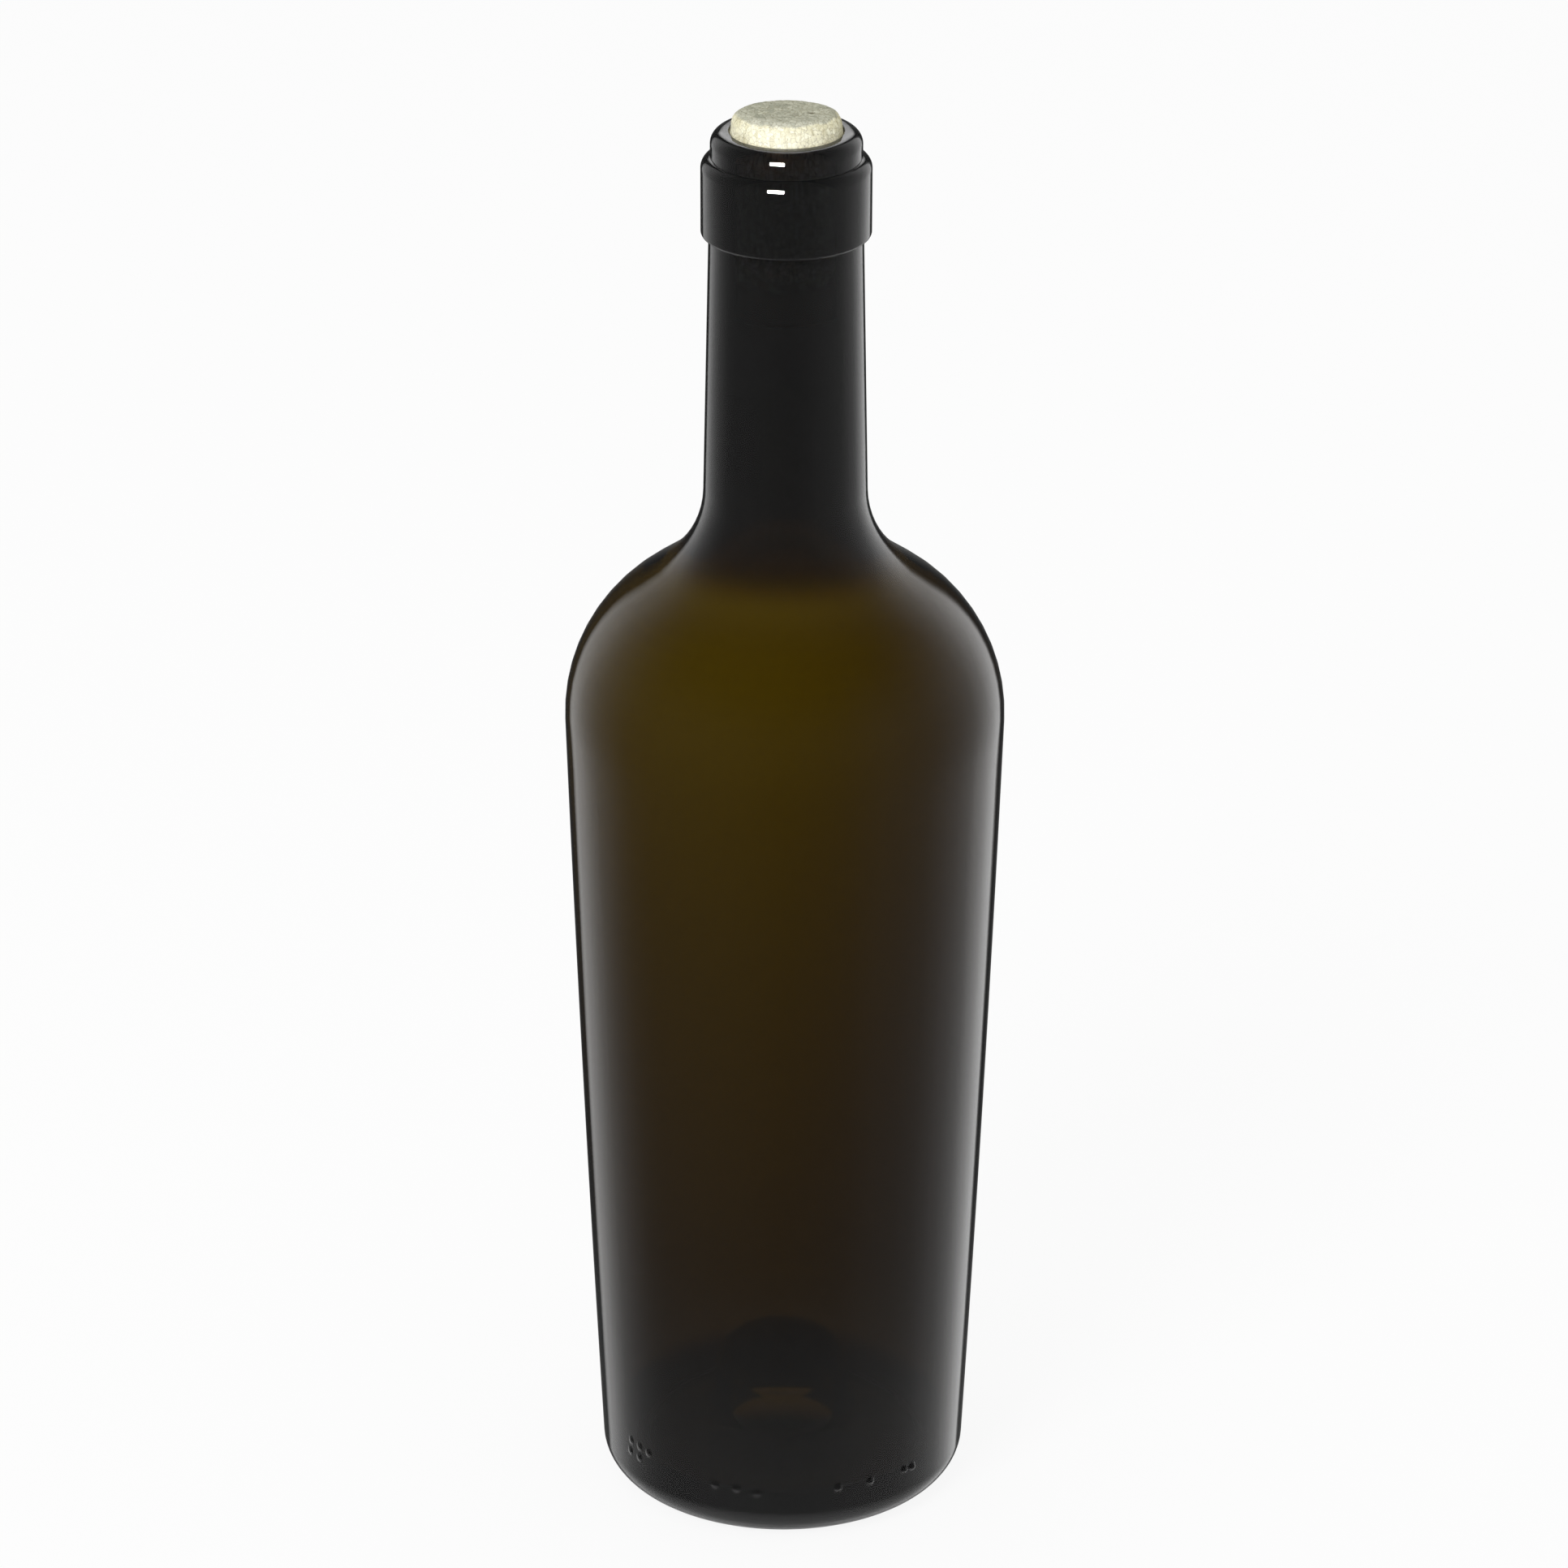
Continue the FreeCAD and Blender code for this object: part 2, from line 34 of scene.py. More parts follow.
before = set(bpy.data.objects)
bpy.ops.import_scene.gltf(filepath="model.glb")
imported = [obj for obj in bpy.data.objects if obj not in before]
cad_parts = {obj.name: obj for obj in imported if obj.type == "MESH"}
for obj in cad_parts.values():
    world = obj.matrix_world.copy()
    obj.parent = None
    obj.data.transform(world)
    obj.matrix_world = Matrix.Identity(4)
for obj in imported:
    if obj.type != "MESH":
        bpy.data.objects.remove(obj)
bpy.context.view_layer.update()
MM = 0.001
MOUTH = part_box("bottle")[1].z / MM       # level of the top of the glass
CORK_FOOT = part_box("cork")[0].z / MM


# ----------------------------------------------------------------- outline tools
def toward(start, end, distance):
    """Point at a distance from start on the way to end."""
    span = math.dist(start, end)
    return tuple(a + (b - a) * distance / span for a, b in zip(start, end))


def touching_line(centre_a, reach_a, centre_b, reach_b, turn):
    """Ends of the line at centre + reach * normal from both of two centres."""
    run, rise = centre_b[0] - centre_a[0], centre_b[1] - centre_a[1]
    angle = math.atan2(rise, run) + turn * math.acos((reach_a - reach_b) / math.hypot(run, rise))
    across, up = math.cos(angle), math.sin(angle)
    return (
        (centre_a[0] + reach_a * across, centre_a[1] + reach_a * up),
        (centre_b[0] + reach_b * across, centre_b[1] + reach_b * up),
    )


def bow_centre(low, high, radius, inset=0.0):
    """Centre, on the axis side, of an arc through high that passes inset beyond low."""
    run, rise = high[0] - low[0], high[1] - low[1]
    span = math.hypot(run, rise)
    along = (span**2 + (radius - inset) ** 2 - radius**2) / (2 * span)
    back = math.sqrt((radius - inset) ** 2 - along**2)
    return (
        low[0] + (along * run - back * rise) / span,
        low[1] + (along * rise + back * run) / span,
    )


def dome_and_corner(dome, corner, side, top):
    """Centre of a dome on the axis, centre of its rounded edge, and where they meet."""
    dome_centre = (0.0, top - dome)
    run = side - corner
    corner_centre = (run, dome_centre[1] + math.sqrt((dome - corner) ** 2 - run**2))
    return dome_centre, corner_centre, toward(dome_centre, corner_centre, dome)


def beside(foot, top, reach):
    """Point at a distance from foot, square to the line from foot to top."""
    length = math.dist(foot, top)
    return (
        foot[0] + reach * (top[1] - foot[1]) / length,
        foot[1] + reach * (foot[0] - top[0]) / length,
    )


def bend(centre, radius, start, end):
    """The arc from start to end as the corner that it rounds, and its radius."""
    centre, start, end = (np.array(point, float) for point in (centre, start, end))
    first, last = start - centre, end - centre
    corner = centre + (first + last) * radius**2 / (radius**2 + first @ last)
    return corner[0], corner[1], radius


def rounded(corners, step=6.0, longest=4.0):
    """Points of a chain of (radius, height, rounding), closer where it curves."""
    spots = [np.array(corner[:2], float) for corner in corners]
    points = [spots[0]]
    for here in range(1, len(corners) - 1):
        spot, radius = spots[here], corners[here][2]
        back = (spots[here - 1] - spot) / np.linalg.norm(spots[here - 1] - spot)
        onward = (spots[here + 1] - spot) / np.linalg.norm(spots[here + 1] - spot)
        turn = math.pi - math.acos(np.clip(back @ onward, -1, 1))
        if radius == 0:
            points.append(spot)
            continue
        cut = radius * math.tan(turn / 2)
        inward = (back + onward) / np.linalg.norm(back + onward)
        centre = spot + inward * radius / math.cos(turn / 2)
        start, end = spot + back * cut - centre, spot + onward * cut - centre
        parts = max(4, math.ceil(math.degrees(turn) / step), math.ceil(turn * radius / longest))
        for share in np.linspace(0, 1, parts + 1):
            arm = math.sin((1 - share) * turn) * start + math.sin(share * turn) * end
            points.append(centre + arm / math.sin(turn))
    points.append(spots[-1])
    kept = [points[0]]
    for point in points[1:]:
        if np.linalg.norm(point - kept[-1]) > 0.02:
            kept.append(point)
    return kept


def divided(points, longest, low=-1e9, high=1e9):
    """The same chain with no longer step than that between two heights."""
    result = [points[0]]
    for point in points[1:]:
        start = result[-1]
        count = 1
        if max(start[1], point[1]) > low and min(start[1], point[1]) < high:
            count = math.ceil(np.linalg.norm(point - start) / longest)
        for part in range(1, count + 1):
            result.append(start + (point - start) * part / count)
    return result


def lathe(name, chain, angles, shape=None):
    """Closed mesh of a chain, from the axis back to the axis, turned about Z."""
    chain = np.array(chain, float)
    rings = chain[1:-1]
    rows, columns = len(rings), len(angles)
    across = np.repeat(rings[:, 0][:, None], columns, 1)
    height = np.repeat(rings[:, 1][:, None], columns, 1)
    angle = np.repeat(np.array(angles)[None, :], rows, 0)
    if shape:
        across, height = shape(across, height, angle)
    grid = np.stack([across * np.cos(angle), across * np.sin(angle), height], -1)
    vertices = np.concatenate([
        grid.reshape(-1, 3),
        [[0, 0, height[0].mean()], [0, 0, height[-1].mean()]],
    ]) * MM
    row, column = (part.ravel() for part in np.mgrid[0:rows - 1, 0:columns])
    following = (column + 1) % columns
    quads = np.stack([
        row * columns + column, row * columns + following,
        (row + 1) * columns + following, (row + 1) * columns + column,
    ], -1)
    ring = np.arange(columns)
    onward = (ring + 1) % columns
    first, last = rows * columns, rows * columns + 1
    top = (rows - 1) * columns
    faces = quads.tolist()
    faces += [(first, b, a) for a, b in zip(ring.tolist(), onward.tolist())]
    faces += [(last, top + a, top + b) for a, b in zip(ring.tolist(), onward.tolist())]
    mesh = bpy.data.meshes.new(name)
    mesh.from_pydata(vertices.tolist(), [], faces)
    mesh.update()
    mesh.polygons.foreach_set("use_smooth", [True] * len(mesh.polygons))
    mesh.set_sharp_from_angle(angle=math.radians(30))
    piece = bpy.data.objects.new(name, mesh)
    bpy.context.scene.collection.objects.link(piece)
    return piece


# ---------------------------------------------------------------- material tools
class Nodes:
    """Short calls for building a node tree."""

    def __init__(self, tree):
        self.tree = tree
        tree.nodes.clear()

    def add(self, kind, values=None, **settings):
        node = self.tree.nodes.new("ShaderNode" + kind)
        for name, value in settings.items():
            setattr(node, name, value)
        for name, value in (values or {}).items():
            if isinstance(value, bpy.types.NodeSocket):
                self.tree.links.new(value, node.inputs[name])
            else:
                node.inputs[name].default_value = value
        return node

    def math(self, operation, *values):
        node = self.add("Math", dict(enumerate(values)), operation=operation)
        return node.outputs[0]

    def ramp(self, value, stops, interpolation="LINEAR"):
        node = self.add("ValToRGB", {"Fac": value})
        ramp = node.color_ramp
        ramp.interpolation = interpolation
        ramp.elements.remove(ramp.elements[1])
        ramp.elements[0].position = stops[0][0]
        for place, _ in stops[1:]:
            ramp.elements.new(place)
        for element, (_, colour) in zip(ramp.elements, stops):
            shade = (colour,) * 3 if isinstance(colour, float) else colour
            element.color = (*shade, 1.0)
        return node.outputs["Color"]

    def mix(self, share, first, second, blend="MIX"):
        node = self.add(
            "Mix", {"Factor": share}, data_type="RGBA", blend_type=blend
        )
        for index, value in ((6, first), (7, second)):
            if isinstance(value, bpy.types.NodeSocket):
                self.tree.links.new(value, node.inputs[index])
            else:
                node.inputs[index].default_value = (*value, 1.0)
        return node.outputs[2]


def material(name):
    """A new material and the builder of its node tree."""
    made = bpy.data.materials.new(name)
    made.use_nodes = True
    return made, Nodes(made.node_tree)


# ------------------------------------------------------------------------- glass
BEARING_RADIUS = 28.9          # outer rim of the flat ring it stands on
BEARING_WIDTH = 2.4
HEEL_ROUND = 6.7
WALL_BOW = 8400.0              # radius of the faint barrel curve of the wall
SHOULDER_HEIGHT = 160.4        # widest level
SHOULDER_RADIUS = 41.7
SHOULDER_ROUND = 33.0
NECK_FOOT_ROUND = 19.6
NECK_FLARE = 1.05              # how much wider the neck is at its foot
NECK_LENGTH = 50.5
BAND_STAND = 1.45              # how far the band stands out from the neck
BAND_EDGE_ROUND = 0.7
BAND_TOP_ROUND = 2.2
BAND_LENGTH = 14.9
LIP_FACE = 0.85                # flat ring round the mouth
LIP_ROUND = 2.5
LIP_LENGTH = 5.0
PUNT_HEIGHT = 25.5             # punt: the hollow pushed up under the base
PUNT_DOME = 22.0
PUNT_CORNER = 4.0
PUNT_RADIUS = 10.8
PUNT_FOOT_ROUND = 4.0
PUNT_FOOT_HEIGHT = 6.0
RING_ROUND = 2.0
WALL = 2.05                    # glass: thickness of the wall
FOOT_WALL = 2.75               # the same just above the heel
FOOT_FLOOR = 6.5               # above the ring it stands on
FOOT_INSIDE_ROUND = 5.5
VALLEY_FLOOR = 3.5             # round the punt's foot
VALLEY_ROUND = 5.0
PUNT_WALL = 2.4
INSIDE_SLOPE = 11.5            # about the straight part inside the shoulder
NECK_INSIDE_ROUND = 14.0
NECK_INSIDE_FLARE = 1.1
NECK_WALL = 4.85               # round the bore under the band
BORE_RADIUS = 9.5
BORE_DEPTH = 52.0
BEVEL_RUN = 1.2                # bevel of the mouth, across and down
BEVEL_DROP = 1.6

MOUTH_RADIUS = BORE_RADIUS + BEVEL_RUN
LIP_RADIUS = MOUTH_RADIUS + LIP_FACE + LIP_ROUND
NECK_RADIUS = BORE_RADIUS + NECK_WALL
BAND_RADIUS = NECK_RADIUS + BAND_STAND
BAND_TOP = MOUTH - LIP_LENGTH
BAND_FOOT = BAND_TOP - BAND_LENGTH


def wall_and_shoulder():
    """Centres of the wall's bow and of the shoulder's rounding, outside."""
    widest = (SHOULDER_RADIUS, SHOULDER_HEIGHT)
    wall_centre = bow_centre((BEARING_RADIUS, HEEL_ROUND), widest, WALL_BOW, HEEL_ROUND)
    return wall_centre, toward(widest, wall_centre, SHOULDER_ROUND)


def outside():
    """Corners and roundings of the outside, from the punt to the rim of the mouth."""
    dome_centre, corner_centre, meeting = dome_and_corner(
        PUNT_DOME, PUNT_CORNER, PUNT_RADIUS, PUNT_HEIGHT
    )
    foot_centre = (PUNT_RADIUS + PUNT_FOOT_ROUND, PUNT_FOOT_HEIGHT + PUNT_FOOT_ROUND)
    ring_centre = (BEARING_RADIUS - BEARING_WIDTH, RING_ROUND)
    roof_inner, roof_outer = touching_line(
        foot_centre, -PUNT_FOOT_ROUND, ring_centre, -RING_ROUND, 1
    )
    heel_centre = (BEARING_RADIUS, HEEL_ROUND)
    widest = (SHOULDER_RADIUS, SHOULDER_HEIGHT)
    wall_centre, shoulder_centre = wall_and_shoulder()
    wall_foot = toward(wall_centre, heel_centre, WALL_BOW)
    neck_foot = (NECK_RADIUS + NECK_FLARE, BAND_FOOT - NECK_LENGTH)
    neck_top = (NECK_RADIUS, BAND_FOOT)
    root_centre = beside(neck_foot, neck_top, NECK_FOOT_ROUND)
    slope_low, slope_high = touching_line(
        shoulder_centre, SHOULDER_ROUND, root_centre, -NECK_FOOT_ROUND, -1
    )
    step = BAND_TOP_ROUND - BAND_RADIUS + LIP_RADIUS
    band_side = BAND_TOP - math.sqrt(BAND_TOP_ROUND**2 - step**2)
    return [
        (0.0, PUNT_HEIGHT, 0),
        bend(dome_centre, PUNT_DOME, (0.0, PUNT_HEIGHT), meeting),
        bend(corner_centre, PUNT_CORNER, meeting, (PUNT_RADIUS, corner_centre[1])),
        bend(foot_centre, PUNT_FOOT_ROUND, (PUNT_RADIUS, foot_centre[1]), roof_inner),
        bend(ring_centre, RING_ROUND, roof_outer, (ring_centre[0], 0.0)),
        bend(heel_centre, HEEL_ROUND, (BEARING_RADIUS, 0.0), wall_foot),
        bend(wall_centre, WALL_BOW, wall_foot, widest),
        bend(shoulder_centre, SHOULDER_ROUND, widest, slope_low),
        bend(root_centre, NECK_FOOT_ROUND, slope_high, neck_foot),
        (*neck_top, 0),
        (BAND_RADIUS, BAND_FOOT, BAND_EDGE_ROUND),
        bend(
            (BAND_RADIUS - BAND_TOP_ROUND, band_side), BAND_TOP_ROUND,
            (BAND_RADIUS, band_side), (LIP_RADIUS, BAND_TOP),
        ),
        (LIP_RADIUS, BAND_TOP, 0),
        (LIP_RADIUS, MOUTH, LIP_ROUND),
        (MOUTH_RADIUS, MOUTH, 0),
    ]


def inside():
    """Corners and roundings of the hollow, from the bevel of the mouth to the punt."""
    foot = (BEARING_RADIUS + HEEL_ROUND - FOOT_WALL, FOOT_FLOOR + FOOT_INSIDE_ROUND)
    widest = (SHOULDER_RADIUS - WALL, SHOULDER_HEIGHT)
    wall_centre = bow_centre(foot, widest, WALL_BOW - WALL)
    shoulder_centre = toward(widest, wall_centre, SHOULDER_ROUND - WALL)
    _, outer_centre = wall_and_shoulder()
    root_run = BORE_RADIUS + NECK_INSIDE_FLARE + NECK_INSIDE_ROUND - outer_centre[0]
    root_reach = math.hypot(SHOULDER_ROUND - WALL + NECK_INSIDE_ROUND, INSIDE_SLOPE)
    neck_foot = (
        BORE_RADIUS + NECK_INSIDE_FLARE,
        outer_centre[1] + math.sqrt(root_reach**2 - root_run**2),
    )
    bore_foot = (BORE_RADIUS, MOUTH - BORE_DEPTH)
    root_centre = beside(neck_foot, bore_foot, NECK_INSIDE_ROUND)
    slope_low, slope_high = touching_line(
        shoulder_centre, SHOULDER_ROUND - WALL, root_centre, -NECK_INSIDE_ROUND, -1
    )
    foot_centre = toward(foot, wall_centre, FOOT_INSIDE_ROUND)
    side, top = PUNT_RADIUS + PUNT_WALL, PUNT_HEIGHT + PUNT_WALL
    valley_centre = (side + VALLEY_ROUND, PUNT_FOOT_HEIGHT + VALLEY_FLOOR + VALLEY_ROUND)
    floor_inner, floor_outer = touching_line(
        valley_centre, -VALLEY_ROUND, foot_centre, -FOOT_INSIDE_ROUND, 1
    )
    dome, corner = PUNT_DOME + PUNT_WALL, PUNT_CORNER + PUNT_WALL
    dome_centre, corner_centre, meeting = dome_and_corner(dome, corner, side, top)
    return [
        (BORE_RADIUS, MOUTH - BEVEL_DROP, 0),
        (*bore_foot, 0),
        bend(root_centre, NECK_INSIDE_ROUND, neck_foot, slope_high),
        bend(shoulder_centre, SHOULDER_ROUND - WALL, slope_low, widest),
        bend(wall_centre, WALL_BOW - WALL, widest, foot),
        bend(foot_centre, FOOT_INSIDE_ROUND, foot, floor_outer),
        bend(valley_centre, VALLEY_ROUND, floor_inner, (side, valley_centre[1])),
        bend(corner_centre, corner, (side, corner_centre[1]), meeting),
        bend(dome_centre, dome, meeting, (0.0, top)),
        (0.0, top, 0),
    ]


DOTS = [                       # raised mould dots: degrees round Z, height, rise
    (-45.0, 11.2, 0.6), (-48.4, 11.4, 0.6), (-61.5, 11.5, 0.6), (-72.4, 11.5, 0.6),
    (-98.0, 10.9, 0.2), (-104.5, 11.5, 0.2), (-111.5, 11.6, 0.2),
    (-146.4, 11.4, 0.2), (-141.6, 11.2, 0.2),
    (-145.6, 14.0, 0.2), (-141.2, 13.8, 0.2), (-136.9, 13.5, 0.2),
]
DOT_REACH = 0.85
DOT_BAND = (9.3, 16.4)         # levels between which the mesh is fine enough for them
DOT_MESH = 0.3
OFF_AXIS = 0.3                 # how far the inside lies off the axis over the body

profile = rounded(outside() + inside(), longest=6.0)
heel_row = next(row for row, point in enumerate(profile) if point[0] > BEARING_RADIUS + 1)
mouth_row = max(row for row, point in enumerate(profile) if point[1] > MOUTH - 0.01)
dotted = divided(profile[heel_row:mouth_row + 1], DOT_MESH, *DOT_BAND)
chain = profile[:heel_row] + dotted + profile[mouth_row + 1:]
mouth_row += len(chain) - len(profile)

turns = set(np.round(np.linspace(-math.pi, math.pi, 180, endpoint=False), 4).tolist())
for degrees, _, _ in DOTS:
    for step in range(-6, 7):
        turns.add(round(math.radians(degrees) + step * 0.005, 4))
turns = sorted(turns)


def cast(across, height, angle):
    """Raises the mould dots, and makes the wall thicker on one side."""
    inner = np.arange(len(across))[:, None] > mouth_row
    foot = np.clip((height - 12) / 30, 0, 1)
    head = np.clip((215 - height) / 40, 0, 1)
    made = across - inner * OFF_AXIS * foot * head * np.cos(angle)
    for degrees, level, rise in DOTS:
        along = (angle - math.radians(degrees)) * across
        away = np.hypot(along, height - level) / DOT_REACH
        made += ~inner * (height < 20) * rise * np.clip(1 - away**2, 0, None) ** 0.7
    return made, height


glass = lathe("bottle_glass", chain, turns, cast)
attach(glass, "root")
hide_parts("bottle")

# White diffuse haze on the glass: partly a dusting, partly painted reflection, heavy on the neck
# where it stands in for the front reflection, thin on the shoulder
DUST_AND_REFLECTION = [                       # height in metres, share of white haze: a dusting, and painted reflection on the neck
    (0.0, 0.009), (0.015, 0.008), (0.037, 0.0045), (0.06, 0.0015), (0.105, 0.001),
    (0.18, 0.0005), (0.187, 0.0015), (0.193, 0.004), (0.205, 0.0085), (0.3, 0.0085),
]
ABSORBED = {"Color": (0.636, 0.575, 0.12, 1.0), "Density": 2000.0}


def olive_glass():
    """Clear dark glass with fine waves, a little smear and a white haze, partly a dusting and
    partly painted reflection on the neck.
    """
    made, tree = material("olive_glass")
    place = tree.add("TexCoord").outputs["Object"]
    height = tree.add("SeparateXYZ", {"Vector": place}).outputs["Z"]
    tallest = DUST_AND_REFLECTION[-1][0]
    # painted reflection: the white haze by height, heaviest on the neck
    dust_and_reflection = tree.ramp(
        tree.math("DIVIDE", height, tallest), [(level / tallest, share) for level, share in DUST_AND_REFLECTION]
    )
    clear = tree.math("SUBTRACT", 1.0, dust_and_reflection)
    smear = tree.add("TexNoise", {"Vector": place, "Scale": 45.0, "Detail": 3.0})
    smear = tree.ramp(smear.outputs["Fac"], [(0.45, 0.0), (0.8, 0.012)])
    drawn = tree.add("VectorMath", {0: place, 1: (130.0, 130.0, 14.0)}, operation="MULTIPLY")
    waves = tree.add("TexNoise", {"Vector": drawn.outputs[0], "Scale": 1.0, "Detail": 1.0})
    waves = tree.add("Bump", {"Strength": 1.0, "Distance": 0.00005, "Height": waves.outputs["Fac"]})
    surface = tree.add("BsdfPrincipled", {
        "Base Color": (1.0, 1.0, 1.0, 1.0), "Roughness": smear, "Normal": waves.outputs[0],
        "IOR": 1.52, "Transmission Weight": clear,
    })
    depth = tree.add("VolumeAbsorption", ABSORBED)
    tree.add("OutputMaterial", {"Surface": surface.outputs[0], "Volume": depth.outputs[0]})
    return made


glass.data.materials.append(olive_glass())

# -------------------------------------------------------------------------- cork
CORK_SWELL = 0.9               # how much wider than the bore it is outside it
CORK_SLACK = 0.03              # clearance of the squeezed part in the bore
CORK_FOOT_ROUND = 0.8
CORK_CROWN_ROUND = 3.0
CORK_SLANT = 1.3               # fall of its top from front to back
PIT_X, PIT_Y = 4.7, -1.3       # place of the one deep pit in its top
PIT_REACH = 0.9
GRANULES = 1.05                # granules to a millimetre
FINE = 2.6                     # grain of the surface between them, to a millimetre

bevel = BEVEL_DROP / BEVEL_RUN
stem, swollen = BORE_RADIUS - CORK_SLACK, BORE_RADIUS + CORK_SWELL
HIGH = MOUTH + 3.9             # level of its top over the axis
SLOPE = CORK_SLANT / (2 * swollen)
PIT = Vector((PIT_X, PIT_Y, HIGH - SLOPE * PIT_Y))
chain = rounded([
    (0.0, CORK_FOOT, 0),
    (stem, CORK_FOOT, CORK_FOOT_ROUND),
    (stem, MOUTH - BEVEL_DROP - CORK_SLACK * bevel, 0),
    (swollen, MOUTH - BEVEL_DROP + CORK_SWELL * bevel, 0),
    (swollen, HIGH, CORK_CROWN_ROUND),
    (0.0, HIGH, 0),
], step=8.0)
chain = divided(divided(chain, 0.25, MOUTH - 1), 3.0)


def worn(across, height, angle):
    """Granules, pores, one pit and a slanted top, cut into the end that shows."""
    standing = np.clip((height - MOUTH) / (HIGH - MOUTH), 0, 1)
    height = height - SLOPE * standing * across * np.sin(angle)
    along = np.gradient(np.stack([across, height], -1), axis=0)
    along /= np.linalg.norm(along, axis=2, keepdims=True)
    depth = np.zeros_like(across)
    for row, column in np.argwhere(height > MOUTH - 0.5):
        reach, turned, level = across[row, column], angle[row, column], height[row, column]
        spot = Vector((reach * math.cos(turned), reach * math.sin(turned), level))
        near, cells = noise.voronoi(spot * GRANULES)
        seam = max(0.0, 1 - 6 * (near[1] - near[0]))
        chance = math.sin(cells[0].dot((12.99, 78.23, 37.72))) * 437.585 % 1
        pore = max(0.0, 1 - 2.2 * near[0]) if chance < 0.22 else 0.0
        pit = max(0.0, 1 - (spot - PIT).length / PIT_REACH)
        soft = 0.5 + 0.5 * noise.noise(spot * 0.28)
        fine = 0.5 + 0.5 * noise.noise(spot * FINE)
        depth[row, column] = (
            0.08 * seam + 0.28 * pore + 0.8 * pit**0.5 + 0.3 * soft + 0.09 * fine
        ) * min(1.0, level - MOUTH + 0.5)
    return across - depth * along[:, :, 1], height + depth * along[:, :, 0]


cork = lathe("cork", chain, np.linspace(-math.pi, math.pi, 280, endpoint=False), worn)
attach(cork, "root")
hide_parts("cork")

CREAM = [(0.0, (0.72, 0.68, 0.44)), (0.5, (0.83, 0.80, 0.57)), (1.0, (0.87, 0.85, 0.64))]
WEATHERED = [(0.0, (0.32, 0.33, 0.24)), (0.4, (0.44, 0.44, 0.33)), (1.0, (0.52, 0.52, 0.40))]
# colour of the painted shade in the pit
PIT_SHADE = (0.16, 0.13, 0.08)
WINE_STAIN = (0.22, 0.055, 0.035)
WHITE = (1.0, 1.0, 1.0)


def worn_cork():
    """Cream granules, greyed on top, with painted shade in the pit, and stained by wine at the
    lower end.
    """
    made, tree = material("worn_cork")
    place = tree.add("TexCoord").outputs["Object"]
    place = tree.add("VectorMath", {0: place, "Scale": 1000.0}, operation="SCALE").outputs[0]
    parts = tree.add("SeparateXYZ", {"Vector": place})
    height = parts.outputs["Z"]
    risen = tree.math("MULTIPLY_ADD", parts.outputs["Y"], SLOPE, height)
    grain = tree.add("TexVoronoi", {"Vector": place, "Scale": GRANULES})
    tone = tree.add("SeparateColor", {"Color": grain.outputs["Color"]}).outputs["Red"]
    edges = tree.add("TexVoronoi", {"Vector": place, "Scale": GRANULES}, feature="DISTANCE_TO_EDGE")
    speck = tree.add("TexNoise", {"Vector": place, "Scale": FINE, "Detail": 4.0, "Roughness": 0.7})
    blotch = tree.add("TexNoise", {"Vector": place, "Scale": 0.45, "Detail": 3.0})
    cream = tree.ramp(tone, CREAM)
    drawn = tree.add("VectorMath", {0: place, 1: (1.6, 1.6, 0.25)}, operation="MULTIPLY")
    streak = tree.add("TexNoise", {"Vector": drawn.outputs[0], "Scale": 1.0, "Detail": 3.0})
    streak = tree.ramp(streak.outputs["Fac"], [(0.32, (0.62, 0.58, 0.42)), (0.5, WHITE)])
    cream = tree.mix(0.6, cream, streak, "MULTIPLY")
    grey = tree.ramp(tone, WEATHERED)
    weather = tree.math("MULTIPLY_ADD", blotch.outputs["Fac"], 1.2, risen)
    weather = tree.math("SUBTRACT", weather, HIGH - 0.5)
    greyed = tree.ramp(weather, [(0.0, 0.0), (0.35, 0.9), (1.0, 1.0)])
    bark = tree.mix(greyed, cream, grey)
    seams = tree.ramp(edges.outputs["Distance"], [(0.0, (0.55, 0.50, 0.38)), (0.09, WHITE)])
    bark = tree.mix(0.7, bark, seams, "MULTIPLY")
    pores = tree.ramp(speck.outputs["Fac"], [(0.34, (0.22, 0.18, 0.11)), (0.43, WHITE)])
    bark = tree.mix(0.75, bark, pores, "MULTIPLY")
    # painted shade: the cork darkens within 0.7 mm of a point 0.6 mm below the top at the pit,
    # fading out by 0.95 mm
    pit_shade_centre = (PIT.x, PIT.y, PIT.z - 0.6)
    pit_shade = tree.add("VectorMath", {0: place, 1: pit_shade_centre}, operation="DISTANCE")
    pit_shade = tree.ramp(pit_shade.outputs["Value"], [(0.7, PIT_SHADE), (0.95, WHITE)])
    bark = tree.mix(0.9, bark, pit_shade, "MULTIPLY")
    soaked = tree.math("MULTIPLY_ADD", height, -0.12, 30.4)
    soaked = tree.math("MULTIPLY_ADD", blotch.outputs["Fac"], 0.5, soaked)
    soaked = tree.ramp(soaked, [(0.25, 0.0), (0.75, 1.0)])
    bark = tree.mix(soaked, bark, WINE_STAIN)
    rough = tree.add("Bump", {"Strength": 0.5, "Distance": 0.0001, "Height": speck.outputs["Fac"]})
    surface = tree.add("BsdfPrincipled", {
        "Base Color": bark, "Roughness": 0.85, "Normal": rough.outputs[0],
    })
    tree.add("OutputMaterial", {"Surface": surface.outputs[0]})
    return made


cork.data.materials.append(worn_cork())

# ------------------------------------------------------------- floor and backdrop
side = 6.0
floor_mesh = bpy.data.meshes.new("floor")
floor_mesh.from_pydata(
    [(-side, -side, 0), (side, -side, 0), (side, side, 0), (-side, side, 0)], [], [(0, 1, 2, 3)]
)
floor = bpy.data.objects.new("floor", floor_mesh)
bpy.context.scene.collection.objects.link(floor)
floor.visible_glossy = False


